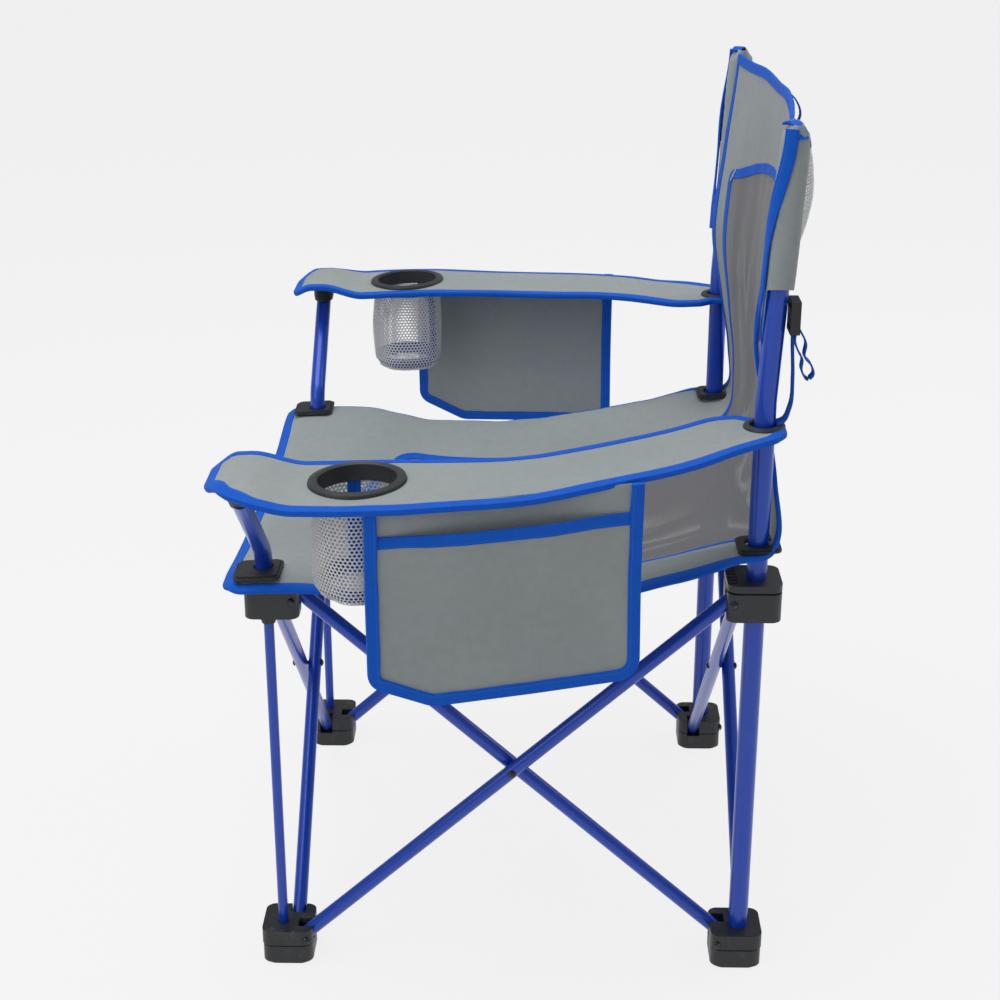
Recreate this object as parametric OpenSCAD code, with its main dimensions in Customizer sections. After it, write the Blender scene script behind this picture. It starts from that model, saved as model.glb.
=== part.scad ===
// Folding camp chair: four X pairs of steel tube, plastic corner hubs, sewn fabric seat and arms.
// Millimetres. +Z up, the chair faces -Y, its left side is +X, the feet stand on Z = 0.
// Corner 0 is rear left, 1 rear right, 2 front right, 3 front left: each is corner 0 turned by 90.

/* [Frame] */
// Distance between neighbouring corner hub centres, open
corner_pitch = 512; // [440:2:600]
// How far the middle of the feet lies behind the origin
frame_y = -13; // [-20:1:20]
// Height of the lower cross tube pins
foot_pin_z = 32; // [30:1:36]
// Height of the upper cross tube pins
hub_pin_z = 456; // [380:1:540]
// Distance from a hub centre to each of its pins, along the side
pin_inset = 22; // [22:0.5:25]

/* [Tubes] */
// Cross tube diameter
cross_d = 16; // [14:0.5:18]
// Wall of every tube
tube_wall = 1.2; // [0.8:0.1:1.6]
// Gap between two cross tubes that pass each other
pass_gap = 1; // [0.6:0.1:1.4]
// Rear upright diameter
upright_d = 22; // [18:0.5:22]
// Height at which the upright starts to lean back
lean_z = 676; // [660:1:720]
// Backward lean of the upright above that height, degrees
lean = 3; // [0:0.5:5]
// Length of the leaning part of the upright
lean_len = 268; // [220:1:320]
// Arm post diameter
post_d = 19; // [16:0.5:19]
// Height at which the arm post bends outwards
post_bend_z = 506; // [502:1:520]
// Outward bend of the arm post from upright, degrees
post_bend = 50; // [30:1:60]
// Front rod diameter
rod_d = 11; // [8:0.5:11]

/* [Hubs] */
// Width of a corner hub
hub_w = 58; // [56:1:64]
// Height of a foot
foot_h = 44; // [43:1:50]
// Height of an upper hub
hub_h = 42; // [41:1:50]
// Cross pin diameter
pin_d = 5; // [4:0.5:6]
// Diameter of a pin head
pin_head_d = 9; // [8:0.5:10]
// Radial play of a pin or a tube that turns or slides
run_play = 0.06; // [0.03:0.01:0.1]
// Side play of a tube in a hub slot
slot_play = 0.3; // [0.2:0.1:0.5]

/* [Seat] */
// Distance the seat reaches past a front hub centre
seat_front = 52; // [40:1:60]
// Distance the seat reaches past a rear hub centre
seat_rear = 30; // [24:1:40]
// Distance the seat reaches past a hub centre sideways
seat_side = 44; // [36:1:50]
// Height of the seat's underside at the rear corner above that at the front
seat_rise = 28; // [20:1:34]
// Sag of the seat in the middle
seat_sag = 78; // [40:1:100]
// Thickness of the seat fabric
seat_t = 4; // [3:0.5:6]

/* [Back] */
// Lowest point of the back panel, along the leaning upright below its bend
back_drop = 128; // [90:1:140]
// Height of the back panel above the upright's bend
back_top = 282; // [270:1:340]
// Sag of the back panel between its sleeves
back_sag = 40; // [20:1:60]
// Thickness of the back fabric
back_t = 4; // [3:0.5:6]
// Length of the sleeve on each upright
sleeve_len = 172; // [140:1:200]
// Width of the mesh pocket on the back
back_pocket_w = 240; // [160:2:300]
// Height of the mesh pocket on the back
back_pocket_h = 170; // [120:2:180]
// Depth of the mesh pocket on the back
back_pocket_d = 20; // [16:1:30]

/* [Arms] */
// Height of the armrest's underside at the front post
arm_z = 622; // [600:1:640]
// Thickness of the armrest fabric
arm_t = 5; // [4:0.5:8]
// Height of the armrest's underside at the rear grommet
arm_rear_z = 642; // [636:1:652]
// Front edge of the armrest, ahead of the middle of the feet
arm_front = 300; // [290:1:320]
// Outer diameter of the cup ring
ring_d = 98; // [90:1:100]
// Opening of the cup ring
cup_d = 78; // [72:1:80]
// Distance of the cup ring's centre ahead of the middle of the feet
ring_y = 150; // [140:1:170]
// Depth of the cup bag below the armrest
bag_h = 112; // [90:1:130]
// Length of the side pocket
pocket_l = 270; // [220:2:280]
// Depth of the side pocket below the armrest
pocket_h = 190; // [150:2:230]
// Outer thickness of the side pocket
pocket_t = 18; // [14:1:22]

/* [Hidden] */
$fn = 48;

lap_step = 0.04;
lap = 0.3;
soft_gap = 0.3;
half = corner_pitch / 2;
plane = (cross_d + pass_gap) / 2;
run = corner_pitch - 2 * pin_inset;
rise = hub_pin_z - foot_pin_z;
cross_len = norm([run, rise]);
cross_angle = atan2(rise, run);
end_past = 5;
slot_w = cross_d + 2 * slot_play;
slot_reach = pin_inset - norm([end_past, cross_d / 2]) - 0.8;
slot_half_h = norm([end_past, cross_d / 2]) + 1.5;
pin_hole = pin_d + 2 * run_play;
head_h = 2.6;
cap_z = 24;
groove_h = 1.5;
hub_z0 = hub_pin_z - 20;
hub_top = hub_z0 + hub_h;
upright_at = 3;
rod_at = 6;
post_at = 8;
socket_z = 8;
rod_z0 = 14;
rod_top = hub_pin_z - 5;
post_z0 = hub_pin_z - 2;
slide_play = 0.3;
// Play of the rear plates round the uprights, which lean where the plates end up when folded.
plate_play = 3.5;
rear_plate_w = 46;
front_plate_w = 50;
plate_bore_play = 1.2;
wire_play = 0.5;

blue = [0.02, 0.16, 0.62];
black = [0.05, 0.05, 0.055];
dark = [0.16, 0.17, 0.19];
grey = [0.42, 0.46, 0.46];
mesh_white = [0.8, 0.82, 0.84];
steel = [0.6, 0.61, 0.63];

// Places children drawn at corner 0 of a frame centred on the feet at corner i.
module corner(i) {
    translate([0, frame_y, 0]) rotate(90 * i) translate([half, half, 0]) children();
}

// Draws children, made for the left side, on the left or mirrored on the right.
module side(right) {
    translate([0, frame_y, 0]) mirror([right ? 1 : 0, 0, 0]) children();
}

// A square plate with round corners, centred on the Z axis.
module round_plate(w, r, h) {
    linear_extrude(h) union() {
        square([w, w - 2 * r], center = true);
        square([w - 2 * r, w], center = true);
        for (x = [-1, 1], y = [-1, 1]) translate([x * (w / 2 - r), y * (w / 2 - r)]) circle(r = r);
    }
}

// A tube along +Z.
module tube(d, len) {
    difference() {
        cylinder(d = d, h = len);
        translate([0, 0, -1]) cylinder(d = d - 2 * tube_wall, h = len + 2);
    }
}

// An elbow in the XZ plane: starts at the origin going up and bends towards +X. Its wall is
// a hair thinner than the tube's, so that straight lengths lap over its ends.
module elbow(d, r, angle) {
    translate([r, 0, 0]) rotate([90, 0, 180]) rotate_extrude(angle = angle) translate([r, 0])
        difference() {
            circle(d = d - lap_step);
            circle(d = d - 2 * tube_wall + lap_step);
        }
}

// One slot for a cross tube, its pin at the origin, the tube leaving towards -X.
module tube_slot(up, reach_z) {
    translate([-hub_w, -slot_w / 2, up ? -slot_half_h : -reach_z])
        cube([hub_w + pin_inset - slot_reach, slot_w, slot_half_h + reach_z]);
}

// The two pin bores of a hub: X-going tube at rear_off, Y-going tube at side_off.
module pin_bores(z, rear_off, side_off) {
    rear_len = hub_w / 2 - rear_off + slot_w / 2 + 6;
    side_len = hub_w / 2 - side_off + slot_w / 2 + 6;
    translate([-pin_inset, hub_w / 2 + 1, z]) rotate([90, 0, 0])
        cylinder(d = pin_hole, h = rear_len + 1);
    translate([hub_w / 2 + 1, -pin_inset, z]) rotate([0, -90, 0])
        cylinder(d = pin_hole, h = side_len + 1);
}

// A low domed pin head on z = 0.
module pin_dome() {
    dome_r = pin_head_d * 0.62;
    intersection() {
        cylinder(d = pin_head_d, h = head_h);
        translate([0, 0, head_h - dome_r]) sphere(r = dome_r);
    }
}

// One corner pin along -Z, its domed head just above z = 0.
module corner_pin(len) {
    translate([0, 0, -len]) cylinder(d = pin_d, h = len + 1);
    translate([0, 0, 0.05]) pin_dome();
}

// The two pins of a hub.
module hub_pins(z, rear_off, side_off) {
    rear_len = hub_w / 2 - rear_off + slot_w / 2 + 5.5;
    side_len = hub_w / 2 - side_off + slot_w / 2 + 5.5;
    color(steel) {
        translate([-pin_inset, hub_w / 2, z]) rotate([-90, 0, 0]) corner_pin(rear_len);
        translate([hub_w / 2, -pin_inset, z]) rotate([0, 90, 0]) corner_pin(side_len);
    }
}

module foot_body() {
    round_plate(hub_w - 6, 13, 3);
    translate([0, 0, 3]) round_plate(hub_w - 1, 12, cap_z - 3);
    translate([0, 0, cap_z]) round_plate(hub_w - 5, 10, groove_h);
    translate([0, 0, cap_z + groove_h]) round_plate(hub_w, 11, foot_h - cap_z - groove_h);
}

module foot(i) {
    rear = i < 2;
    bore_at = rear ? upright_at : rod_at;
    bore_r = rear ? upright_d / 2 + run_play : rod_d / 2 + wire_play;
    color(black) corner(i) difference() {
        foot_body();
        translate([-pin_inset, plane, foot_pin_z]) tube_slot(true, foot_h);
        translate([-plane, -pin_inset, foot_pin_z]) mirror([1, -1, 0]) tube_slot(true, foot_h);
        translate([bore_at, bore_at, rear ? socket_z : rod_z0 - soft_gap])
            cylinder(r = bore_r, h = foot_h);
        pin_bores(foot_pin_z, plane, -plane);
    }
}

// Upper hub body: the front ones hold the arm post and the rod, the rear ones slide on an upright.
module upper_hub(i) {
    rear = i < 2;
    color(black) corner(i) difference() {
        translate([0, 0, hub_z0]) union() {
            round_plate(hub_w, 11, hub_h - 10);
            translate([0, 0, hub_h - 10]) round_plate(hub_w - 5, 10, 2);
            translate([0, 0, hub_h - 8]) round_plate(hub_w, 11, 8);
        }
        translate([-pin_inset, -plane, hub_pin_z]) tube_slot(false, hub_h);
        translate([plane, -pin_inset, hub_pin_z]) mirror([1, -1, 0]) tube_slot(false, hub_h);
        pin_bores(hub_pin_z, -plane, plane);
        if (rear) {
            translate([upright_at, upright_at, 0])
                cylinder(r = upright_d / 2 + slide_play, h = hub_top + 1);
            for (x = [-20:8:20]) translate([x - 1.5, -hub_w / 2 - 1, hub_top - 1])
                cube([3, 12, 2]);
        } else {
            translate([rod_at, rod_at, hub_z0 - 1])
                cylinder(r = rod_d / 2 + run_play, h = rod_top - hub_z0 + 1);
            translate([post_at, post_at, post_z0])
                cylinder(r = post_d / 2 + run_play, h = hub_h);
        }
    }
}

module foot_pins(i) {
    corner(i) hub_pins(foot_pin_z, plane, -plane);
}

module upper_pins(i) {
    corner(i) hub_pins(hub_pin_z, -plane, plane);
}

// A cross tube drawn along +Z from its lower pin, bored at both ends and in the middle.
module cross_tube() {
    difference() {
        translate([0, 0, -end_past]) tube(cross_d, cross_len + 2 * end_past);
        for (z = [0, cross_len / 2, cross_len])
            translate([0, cross_d, z]) rotate([90, 0, 0]) cylinder(d = pin_hole, h = 2 * cross_d);
    }
}

// Outer cross tube of the side that starts at corner i: from its foot up to the next corner.
module cross_outer(i) {
    color(blue) corner(i) translate([-pin_inset, plane, foot_pin_z])
        rotate([0, cross_angle - 90, 0]) cross_tube();
}

// Inner cross tube of the same side: from the next corner's foot up to corner i.
module cross_inner(i) {
    color(blue) corner(i) translate([-corner_pitch + pin_inset, -plane, foot_pin_z])
        rotate([0, 90 - cross_angle, 0]) cross_tube();
}

// The pin where the two tubes of a side cross, with a dome on each end.
module cross_pin(i) {
    reach = plane + cross_d / 2 + 0.2;
    color(black) corner(i) translate([-half, 0, (foot_pin_z + hub_pin_z) / 2])
        for (s = [0, 180]) rotate([90, 0, s]) {
            cylinder(d = pin_d, h = reach + 1);
            translate([0, 0, reach]) pin_dome();
        }
}

// Places children in the frame of the leaning part of the left upright.
module on_lean() {
    translate([half + upright_at, half + upright_at, lean_z]) rotate([-lean, 0, 0]) children();
}

module upright(right) {
    bend_r = 160;
    knee = bend_r * tan(lean / 2);
    color(blue) side(right) {
        translate([half + upright_at, half + upright_at, socket_z + 0.5])
            tube(upright_d, lean_z - knee - socket_z - 0.5 + lap);
        if (lean > 0) translate([half + upright_at, half + upright_at, lean_z - knee])
            rotate(90) elbow(upright_d, bend_r, lean);
        on_lean() translate([0, 0, knee - lap]) tube(upright_d, lean_len - knee + lap);
    }
}

post_r = 34;
post_knee = post_r * tan(post_bend / 2);
post_out = (arm_z - soft_gap - post_bend_z - post_d / 2 * sin(post_bend)) / cos(post_bend);

module arm_post(right) {
    color(blue) side(right) translate([half + post_at, -half - post_at, 0]) {
        translate([0, 0, post_z0 + 0.3])
            tube(post_d, post_bend_z - post_knee - post_z0 - 0.3 + lap);
        translate([0, 0, post_bend_z - post_knee]) elbow(post_d, post_r, post_bend);
        translate([0, 0, post_bend_z]) rotate([0, post_bend, 0])
            translate([0, 0, post_knee - lap]) tube(post_d, post_out - post_knee + lap);
    }
}

module front_rod(right) {
    color(blue) side(right) translate([half + rod_at, -half - rod_at, rod_z0])
        cylinder(d = rod_d, h = rod_top - rod_z0 - 0.3);
}

module ferrule(right) {
    h = 13;
    color(dark) side(right) translate([half + rod_at, -half - rod_at, hub_z0 - h - 0.1])
        difference() {
            union() {
                translate([0, 0, 3]) cylinder(d = rod_d + 6, h = h - 3);
                cylinder(d = rod_d + 4, h = 4);
            }
            translate([0, 0, -1]) cylinder(d = rod_d + 2 * run_play, h = h + 2);
        }
}

// Seat surface: flat over the hubs, a round sag between them, rising towards the rear.
seat_half_w = half + seat_side;
sag_half = half - hub_w / 2 - 2;
seat_bottom = hub_top + soft_gap;
seat_tilt = atan2(seat_rise, corner_pitch);
function sag(x) = seat_sag * (1 - pow(x / sag_half, 2));
sag_steps = 12;
sag_x = [for (i = [0:sag_steps]) soft_gap / 2 + (sag_half - soft_gap / 2) * i / sag_steps];

module seat(right) {
    color(grey) side(right) difference() {
        translate([0, -half - seat_front, seat_bottom]) rotate([seat_tilt, 0, 0])
            translate([0, corner_pitch + seat_front + seat_rear, 0]) rotate([90, 0, 0])
                linear_extrude(corner_pitch + seat_front + seat_rear)
                    polygon(concat([for (x = sag_x) [x, -sag(x)]],
                        [[seat_half_w, 0], [seat_half_w, seat_t]],
                        [for (i = [sag_steps:-1:0]) [sag_x[i], seat_t - sag(sag_x[i])]]));
        translate([half + post_at, -half - post_at, hub_z0])
            cylinder(d = post_d + 3, h = hub_h * 2);
        translate([half + upright_at, half + upright_at, hub_z0])
            cylinder(r = upright_d / 2 + plate_play + 0.5, h = hub_h * 3);
    }
}

// Height of the seat's top face above a point y ahead of or behind the middle of the feet.
function seat_top(y) = seat_bottom + seat_t / cos(seat_tilt)
    + (y + half + seat_front) * tan(seat_tilt);

module seat_plate(w, bore_d, off) {
    color(black) rotate([seat_tilt, 0, 0]) difference() {
        union() {
            round_plate(w, 8, 2.4);
            translate([0, 0, 2.4]) round_plate(w - 6, 6, 1.8);
        }
        translate([off[0], off[1], -10]) cylinder(d = bore_d, h = 20);
    }
}

module seat_plate_front(right) {
    off = 5;
    side(right) translate([half + post_at + off, -half - post_at - off,
        seat_top(-half - post_at - off) + soft_gap])
        seat_plate(front_plate_w, post_d + 2 * plate_bore_play, [-off, off]);
}

module seat_plate_rear(right) {
    side(right) translate([half + upright_at, half + upright_at,
        seat_top(half + upright_at) + soft_gap])
        seat_plate(rear_plate_w, upright_d + 2 * plate_play, [0, 0]);
}

// Armrest outline on the left side, seen from above.
arm_tilt = atan2(arm_rear_z - arm_z, corner_pitch);
arm_outline = [[half + 64, -arm_front + 14], [half + 78, -arm_front + 2], [half + 138, -arm_front + 6],
    [half + 170, -arm_front + 28], [half + 184, -250], [half + 198, -160], [half + 196, -110],
    [half + 178, 0], [half + 136, 124], [half + 84, 205], [half + 40, 268], [half + 24, 279],
    [half - 14, 279], [half - 21, 270], [half - 21, 250], [half - 33, 236], [half - 32, 205],
    [half + 24, 124], [half + 62, 0],
    [half + 66, -110], [half + 66, -200]];
arm_split = -6;
ring_x = half + 126;

// Height of the armrest's underside above a point y.
function arm_under(y) = arm_z + (y + half) * tan(arm_tilt);

module on_arm() {
    translate([0, -half, arm_z]) rotate([arm_tilt, 0, 0]) translate([0, half, 0]) children();
}

module arm_sheet() {
    on_arm() difference() {
        linear_extrude(arm_t) polygon(arm_outline);
        translate([ring_x, -ring_y, -1]) cylinder(d = cup_d + 8 + 2 * soft_gap, h = arm_t + 2);
        translate([half + upright_at, half + upright_at, -1]) cylinder(d = 36, h = arm_t + 2);
    }
}

module arm_front(right) {
    color(grey) side(right) intersection() {
        arm_sheet();
        translate([0, arm_split - soft_gap / 2 - 600, 500]) cube([600, 600, 300]);
    }
}

module arm_rear(right) {
    color(grey) side(right) intersection() {
        arm_sheet();
        translate([0, arm_split + soft_gap / 2, 500]) cube([600, 600, 300]);
    }
}

module cup_ring(right) {
    color(dark) side(right) on_arm() translate([ring_x, -ring_y, 0]) rotate_extrude()
        polygon([[cup_d / 2, -9], [cup_d / 2 + 3, -9], [cup_d / 2 + 3.6, arm_t + soft_gap],
            [ring_d / 2, arm_t + soft_gap], [ring_d / 2 - 1, arm_t + 3],
            [cup_d / 2 + 3, arm_t + 4.5], [cup_d / 2, arm_t + 3]]);
}

module cup_bag(right) {
    top_r = cup_d / 2 + 6;
    low_r = cup_d / 2;
    wall = 1.5;
    color(mesh_white) side(right) on_arm() translate([ring_x, -ring_y, -soft_gap]) rotate_extrude()
        polygon([[0, -bag_h], [low_r - 3, -bag_h], [low_r, -bag_h + 4], [top_r, 0], [top_r - wall, 0],
            [low_r - wall, -bag_h + 5], [low_r - 4, -bag_h + wall], [0, -bag_h + wall]]);
}

module arm_grommet(right) {
    color(dark) side(right) on_arm() translate([half + upright_at, half + upright_at, 0])
        rotate_extrude() polygon([[14.5, -3], [17, -3], [17.6, arm_t + soft_gap],
            [22, arm_t + soft_gap], [21, arm_t + 2.4], [16, arm_t + 3.4], [14.5, arm_t + 2]]);
}

// Side pocket: a sheet under the armrest's outer edge with a pouch on its outer face.
pocket_turn = 11;
pocket_mid = [half + 164, -6];
pocket_wall = 2;
pocket_top = arm_under(pocket_mid[1] - pocket_l / 2) - soft_gap;
pouch_drop = 28;
pocket_r = 26;

module pocket_face(h) {
    translate([-pocket_l / 2, pocket_r]) square([pocket_l, h - pocket_r]);
    translate([-pocket_l / 2 + pocket_r, 0]) square([pocket_l - 2 * pocket_r, pocket_r + 1]);
    for (s = [-1, 1]) translate([s * (pocket_l / 2 - pocket_r), pocket_r]) circle(r = pocket_r);
}

module side_pocket(right) {
    inside = [pocket_t - 2 * pocket_wall, pocket_l - 2 * pocket_wall - 12, pocket_h];
    color(grey) side(right) translate([pocket_mid[0], pocket_mid[1], pocket_top - pocket_h])
        rotate(pocket_turn) difference() {
            rotate([90, 0, 90]) union() {
                linear_extrude(pocket_wall) pocket_face(pocket_h);
                linear_extrude(pocket_t) pocket_face(pocket_h - pouch_drop);
            }
            translate([pocket_wall, -inside[1] / 2, pocket_wall + 8]) cube(inside);
        }
}

// Back: an arc of fabric between two sleeves, drawn in the frame of the leaning upright.
back_half_w = half + upright_at - upright_d / 2 - 16;
back_r = (pow(back_half_w, 2) + pow(back_sag, 2)) / (2 * back_sag);
sleeve_w = upright_d + 14;

module back_arc(offset_in, t, half_w, h) {
    mid_y = back_sag - back_r;
    linear_extrude(h) intersection() {
        translate([0, mid_y]) difference() {
            circle(r = back_r + offset_in + t, $fn = 96);
            circle(r = back_r + offset_in, $fn = 96);
        }
        translate([-half_w, 0]) square([2 * half_w, back_sag * 3]);
    }
}

module on_back() {
    translate([0, frame_y + half + upright_at, lean_z]) rotate([-lean, 0, 0]) children();
}

module back_panel() {
    sleeve_z = back_top - sleeve_len;
    color(grey) on_back() {
        translate([0, 0, -back_drop]) back_arc(0, back_t, back_half_w, back_top + back_drop);
        for (s = [0, 1]) mirror([s, 0, 0]) translate([half + upright_at, 0, sleeve_z]) difference() {
            translate([back_half_w - 2 - half - upright_at, -sleeve_w / 2, 0])
                cube([half + upright_at - back_half_w + 2 + sleeve_w / 2, sleeve_w, sleeve_len]);
            translate([0, 0, -1]) cylinder(d = upright_d + 2 * soft_gap, h = lean_len - sleeve_z + 2);
        }
    }
}

module back_pocket() {
    z0 = back_top - back_pocket_h - 48;
    inner = back_t + soft_gap;
    color(mesh_white) on_back() translate([0, 0, z0]) difference() {
        back_arc(inner, back_pocket_d, back_pocket_w / 2, back_pocket_h);
        translate([0, 0, 5])
            back_arc(inner + 1.5, back_pocket_d - 3.5, back_pocket_w / 2 - 5, back_pocket_h);
    }
}

// Strap and buckle behind each upright, between the sleeve and the armrest's rear corner.
strap_y = upright_at + 23.6;
buckle_top = lean_z + back_top - sleeve_len - 4;
buckle_h = 34;

module buckle(right) {
    color(black) side(right) translate([half + 2, half + strap_y, buckle_top - buckle_h])
        difference() {
            translate([-14, -5, 0]) cube([28, 10, buckle_h]);
            for (z = [4, buckle_h - 8]) translate([-11, -6, z]) cube([22, 12, 4]);
        }
}

module strap(right) {
    color(blue) side(right) translate([half + 2 - 10, half + strap_y - 1.25, arm_rear_z - 2])
        cube([20, 2.5, buckle_top - buckle_h - soft_gap - arm_rear_z + 2]);
}

foot(0);  // foot_rear_left
foot(1);  // foot_rear_right
foot(2);  // foot_front_right
foot(3);  // foot_front_left
upper_hub(0);  // slider_rear_left
upper_hub(1);  // slider_rear_right
upper_hub(2);  // hub_front_right
upper_hub(3);  // hub_front_left
cross_outer(0);  // cross_rear_outer
cross_inner(0);  // cross_rear_inner
cross_outer(1);  // cross_right_outer
cross_inner(1);  // cross_right_inner
cross_outer(2);  // cross_front_outer
cross_inner(2);  // cross_front_inner
cross_outer(3);  // cross_left_outer
cross_inner(3);  // cross_left_inner
upright(false);  // upright_left
upright(true);  // upright_right
arm_post(false);  // arm_post_left
arm_post(true);  // arm_post_right
front_rod(false);  // front_rod_left
front_rod(true);  // front_rod_right
ferrule(false);  // ferrule_left
ferrule(true);  // ferrule_right
cross_pin(0);  // cross_pin_rear
cross_pin(1);  // cross_pin_right
cross_pin(2);  // cross_pin_front
cross_pin(3);  // cross_pin_left
foot_pins(0);  // foot_pins_rear_left
foot_pins(1);  // foot_pins_rear_right
foot_pins(2);  // foot_pins_front_right
foot_pins(3);  // foot_pins_front_left
upper_pins(0);  // hub_pins_rear_left
upper_pins(1);  // hub_pins_rear_right
upper_pins(2);  // hub_pins_front_right
upper_pins(3);  // hub_pins_front_left
seat_plate_rear(false);  // seat_plate_rear_left
seat_plate_rear(true);  // seat_plate_rear_right
seat_plate_front(true);  // seat_plate_front_right
seat_plate_front(false);  // seat_plate_front_left
arm_grommet(false);  // arm_grommet_left
arm_grommet(true);  // arm_grommet_right
cup_ring(false);  // cup_ring_left
cup_ring(true);  // cup_ring_right
cup_bag(false);  // cup_bag_left
cup_bag(true);  // cup_bag_right
arm_front(false);  // arm_front_left
arm_front(true);  // arm_front_right
arm_rear(false);  // arm_rear_left
arm_rear(true);  // arm_rear_right
side_pocket(false);  // side_pocket_left
side_pocket(true);  // side_pocket_right
seat(false);  // seat_left
seat(true);  // seat_right
back_panel();
back_pocket();
strap(false);  // strap_left
strap(true);  // strap_right
buckle(false);  // buckle_left
buckle(true);  // buckle_right
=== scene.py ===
import math

import bmesh
import bpy
import numpy as np
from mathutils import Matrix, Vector, kdtree, noise
from mathutils.geometry import delaunay_2d_cdt


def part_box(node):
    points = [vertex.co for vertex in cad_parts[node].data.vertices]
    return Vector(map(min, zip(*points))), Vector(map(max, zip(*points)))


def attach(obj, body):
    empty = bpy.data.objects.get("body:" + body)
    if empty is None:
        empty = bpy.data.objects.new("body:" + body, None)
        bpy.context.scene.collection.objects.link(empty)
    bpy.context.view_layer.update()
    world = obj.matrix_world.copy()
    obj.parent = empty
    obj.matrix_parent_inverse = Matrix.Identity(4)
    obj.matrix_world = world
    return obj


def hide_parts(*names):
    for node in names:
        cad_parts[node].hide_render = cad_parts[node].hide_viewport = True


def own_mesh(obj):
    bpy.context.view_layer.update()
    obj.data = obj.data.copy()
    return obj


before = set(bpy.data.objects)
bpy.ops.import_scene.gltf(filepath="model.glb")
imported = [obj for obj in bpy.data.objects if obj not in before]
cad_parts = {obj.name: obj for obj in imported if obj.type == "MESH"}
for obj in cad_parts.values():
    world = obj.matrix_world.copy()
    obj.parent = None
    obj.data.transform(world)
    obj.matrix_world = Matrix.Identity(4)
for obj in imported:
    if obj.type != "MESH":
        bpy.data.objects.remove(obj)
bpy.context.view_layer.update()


# ---------------------------------------------------------------- tubes
# Thin steel tube, bent, drilled and powder coated in a deep gloss blue. The crossed tubes turn on
# pins in the corner hubs, and scuff where they pass each other and where hands and gravel rub.

def srgb(red, green, blue):
    """A colour written as on a paint chart, 0 to 255, as the shader's linear colour."""
    parts = [c / 255 for c in (red, green, blue)]
    return tuple(((c + 0.055) / 1.055) ** 2.4 if c > 0.04 else c / 12.92 for c in parts) + (1.0,)


def put(tree, kind, inputs=None, **settings):
    """Adds a shader node. inputs maps a socket to a value or to another node's output."""
    made = tree.nodes.new("ShaderNode" + kind)
    for key, value in settings.items():
        setattr(made, key, value)
    for key, value in (inputs or {}).items():
        if isinstance(value, bpy.types.NodeSocket):
            tree.links.new(value, made.inputs[key])
        else:
            made.inputs[key].default_value = value
    return made


def math_of(tree, operation, *values):
    return put(tree, "Math", dict(enumerate(values)), operation=operation).outputs[0]


def vector_of(tree, operation, *values):
    made = put(tree, "VectorMath", dict(enumerate(values)), operation=operation)
    return made.outputs["Value" if operation == "LENGTH" else "Vector"]


def remap(tree, value, low, high, to_low, to_high):
    """Spreads the stretch from low to high over the one from to_low to to_high."""
    return put(tree, "MapRange", {0: value, 1: low, 2: high, 3: to_low, 4: to_high}).outputs[0]


def open_effect(name, inputs, outputs):
    """Starts a shader group with the named inputs and their values, and the named outputs."""
    tree = bpy.data.node_groups.new(name, "ShaderNodeTree")
    kinds = {1: "Float", 3: "Vector", 4: "Color"}
    for label, value in inputs.items():
        kind = kinds[len(value) if isinstance(value, tuple) else 1]
        socket = tree.interface.new_socket(label, in_out="INPUT", socket_type="NodeSocket" + kind)
        socket.default_value = value
    for label, kind in outputs.items():
        tree.interface.new_socket(label, in_out="OUTPUT", socket_type="NodeSocket" + kind)
    return tree, tree.nodes.new("NodeGroupInput").outputs, tree.nodes.new("NodeGroupOutput").inputs


def open_material(name, roughness, **constants):
    """A new material's tree and Principled shader, with constants on the shader's own sockets."""
    made = bpy.data.materials.new(name)
    made.use_nodes = True
    shader = made.node_tree.nodes["Principled BSDF"]
    shader.inputs["Roughness"].default_value = roughness
    for key, value in constants.items():
        shader.inputs[key.replace("_", " ")].default_value = value
    return made, made.node_tree, shader.inputs


scuff, scuff_in, scuff_out = open_effect(
    "scuffed skin",
    {"Colour": (0.5, 0.5, 0.5, 1.0), "Worn Colour": (0.6, 0.6, 0.6, 1.0), "Wear": 0.3,
     "Patch Size": 0.03, "Grain Size": 0.0008, "Roughness": 0.4},
    {"Colour": "Color", "Roughness": "Float", "Height": "Float"})
where = put(scuff, "TexCoord").outputs["Object"]
patch_scale = math_of(scuff, "DIVIDE", 1.0, scuff_in["Patch Size"])
grain_scale = math_of(scuff, "DIVIDE", 1.0, scuff_in["Grain Size"])
patches = put(scuff, "TexNoise", {"Vector": where, "Scale": patch_scale, "Detail": 6.0,
                                  "Roughness": 0.7}).outputs[0]
grain = put(scuff, "TexNoise", {"Vector": where, "Scale": grain_scale, "Detail": 2.0}).outputs[0]
rubbed = remap(scuff, patches, 0.54, 0.72, 0.0, 1.0)
rubbed = math_of(scuff, "MULTIPLY", rubbed, scuff_in["Wear"])
skin = put(scuff, "Mix", {0: rubbed, 6: scuff_in["Colour"], 7: scuff_in["Worn Colour"]},
           data_type="RGBA").outputs[2]
dulled = math_of(scuff, "MULTIPLY_ADD", rubbed, 0.25, scuff_in["Roughness"])
dulled = math_of(scuff, "MULTIPLY_ADD", grain, 0.08, dulled)
scuff.links.new(skin, scuff_out["Colour"])
scuff.links.new(dulled, scuff_out["Roughness"])
scuff.links.new(math_of(scuff, "MULTIPLY_ADD", rubbed, -0.5, grain), scuff_out["Height"])


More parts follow.
